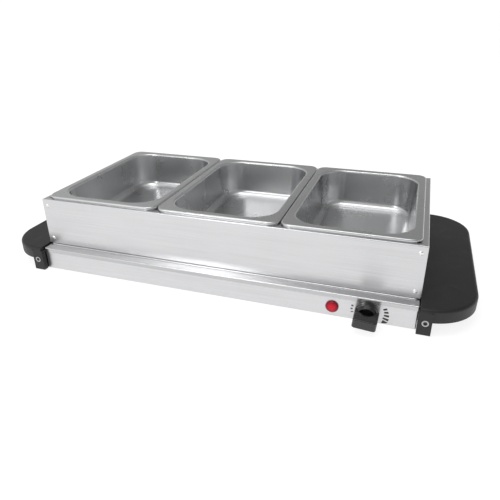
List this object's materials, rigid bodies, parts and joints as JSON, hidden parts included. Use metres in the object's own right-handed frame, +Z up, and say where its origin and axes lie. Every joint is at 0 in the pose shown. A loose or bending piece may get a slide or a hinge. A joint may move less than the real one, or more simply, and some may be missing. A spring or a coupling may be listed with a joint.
{
  "type": "electric buffet server",
  "caption": "Electric buffet server: a heated steel tray with end handles and a thermostat knob, carrying a lift-off frame and lift-out food pans.",
  "frame": {"origin": "on the table, under the middle of the heated tray", "axes": "+X along the length, -Y out of the control panel, +Z up"},
  "size_m": [0.708, 0.357, 0.117],
  "materials": {
    "steel": "stainless sheet, fine brushed grain",
    "pan_steel": "drawn stainless sheet, satin inside and out",
    "handle_plastic": "black moulded heat-resisting plastic, fine matte texture",
    "knob_plastic": "black moulded plastic, semi-gloss",
    "lens": "clear red plastic",
    "rubber": "black rubber",
    "zinc_steel": "zinc-plated sheet steel, dull",
    "fastener": "bright steel",
    "element_sheath": "dark heat-oxidised steel sheath",
    "aluminised": "aluminised sheet, dull",
    "ceramic": "unglazed white ceramic",
    "brass": "brass",
    "fuse_metal": "tinned can and leads",
    "holder_plastic": "cream plastic",
    "bulb_glass": "clear glass",
    "lead_sleeve": "white silicone sleeve"
  },
  "bodies": {
    "base": {"hot_plate": "steel", "base_shell": "steel", "left_handle": "handle_plastic", "right_handle": "handle_plastic", "lamp_lens": "lens", "foot_pads": "rubber", "cord_gland": "rubber", "bottom_cover": "zinc_steel", "left_handle_bracket": "zinc_steel", "right_handle_bracket": "zinc_steel", "lamp_push_nut": "zinc_steel", "thermostat_bracket": "zinc_steel", "thermostat_nut": "zinc_steel", "element_clips": "zinc_steel", "cover_screws": "fastener", "left_handle_screws": "fastener", "right_handle_screws": "fastener", "left_handle_rivets": "fastener", "right_handle_rivets": "fastener", "earth_stud": "fastener", "heating_element": "element_sheath", "heat_shield": "aluminised", "terminal_block": "ceramic", "thermostat_stack": "ceramic", "terminal_screws": "brass", "thermostat_blades": "brass", "element_studs": "brass", "thermal_fuse": "fuse_metal", "lamp_holder": "holder_plastic", "lamp_bulb": "bulb_glass", "wiring": "lead_sleeve"},
    "pan_frame": {"frame_front_panel": "steel", "frame_back_panel": "steel", "frame_left_panel": "steel", "frame_right_panel": "steel", "frame_rivets": "fastener", "left_crossbar": "steel", "right_crossbar": "steel"},
    "dial": {"thermostat_knob": "knob_plastic", "thermostat_shaft": "fastener", "knob_spring_leaf": "zinc_steel"},
    "left_pan_body": {"left_pan": "pan_steel"},
    "middle_pan_body": {"middle_pan": "pan_steel"},
    "right_pan_body": {"right_pan": "pan_steel"}
  },
  "joints": [
    {"name": "dial_turn", "type": "hinge", "parent": "base", "child": "dial", "pos_m": [0.219, -0.1565, 0.0165], "axis": [0, 1, 0], "range_deg": [0, 240]},
    {"name": "frame_lift", "type": "slide", "parent": "base", "child": "pan_frame", "axis": [0, 0, 1], "range_m": [0, 0.1]},
    {"name": "left_pan_lift", "type": "slide", "parent": "pan_frame", "child": "left_pan_body", "axis": [0, 0, 1], "range_m": [0, 0.1]},
    {"name": "middle_pan_lift", "type": "slide", "parent": "pan_frame", "child": "middle_pan_body", "axis": [0, 0, 1], "range_m": [0, 0.1]},
    {"name": "right_pan_lift", "type": "slide", "parent": "pan_frame", "child": "right_pan_body", "axis": [0, 0, 1], "range_m": [0, 0.1]}
  ]
}
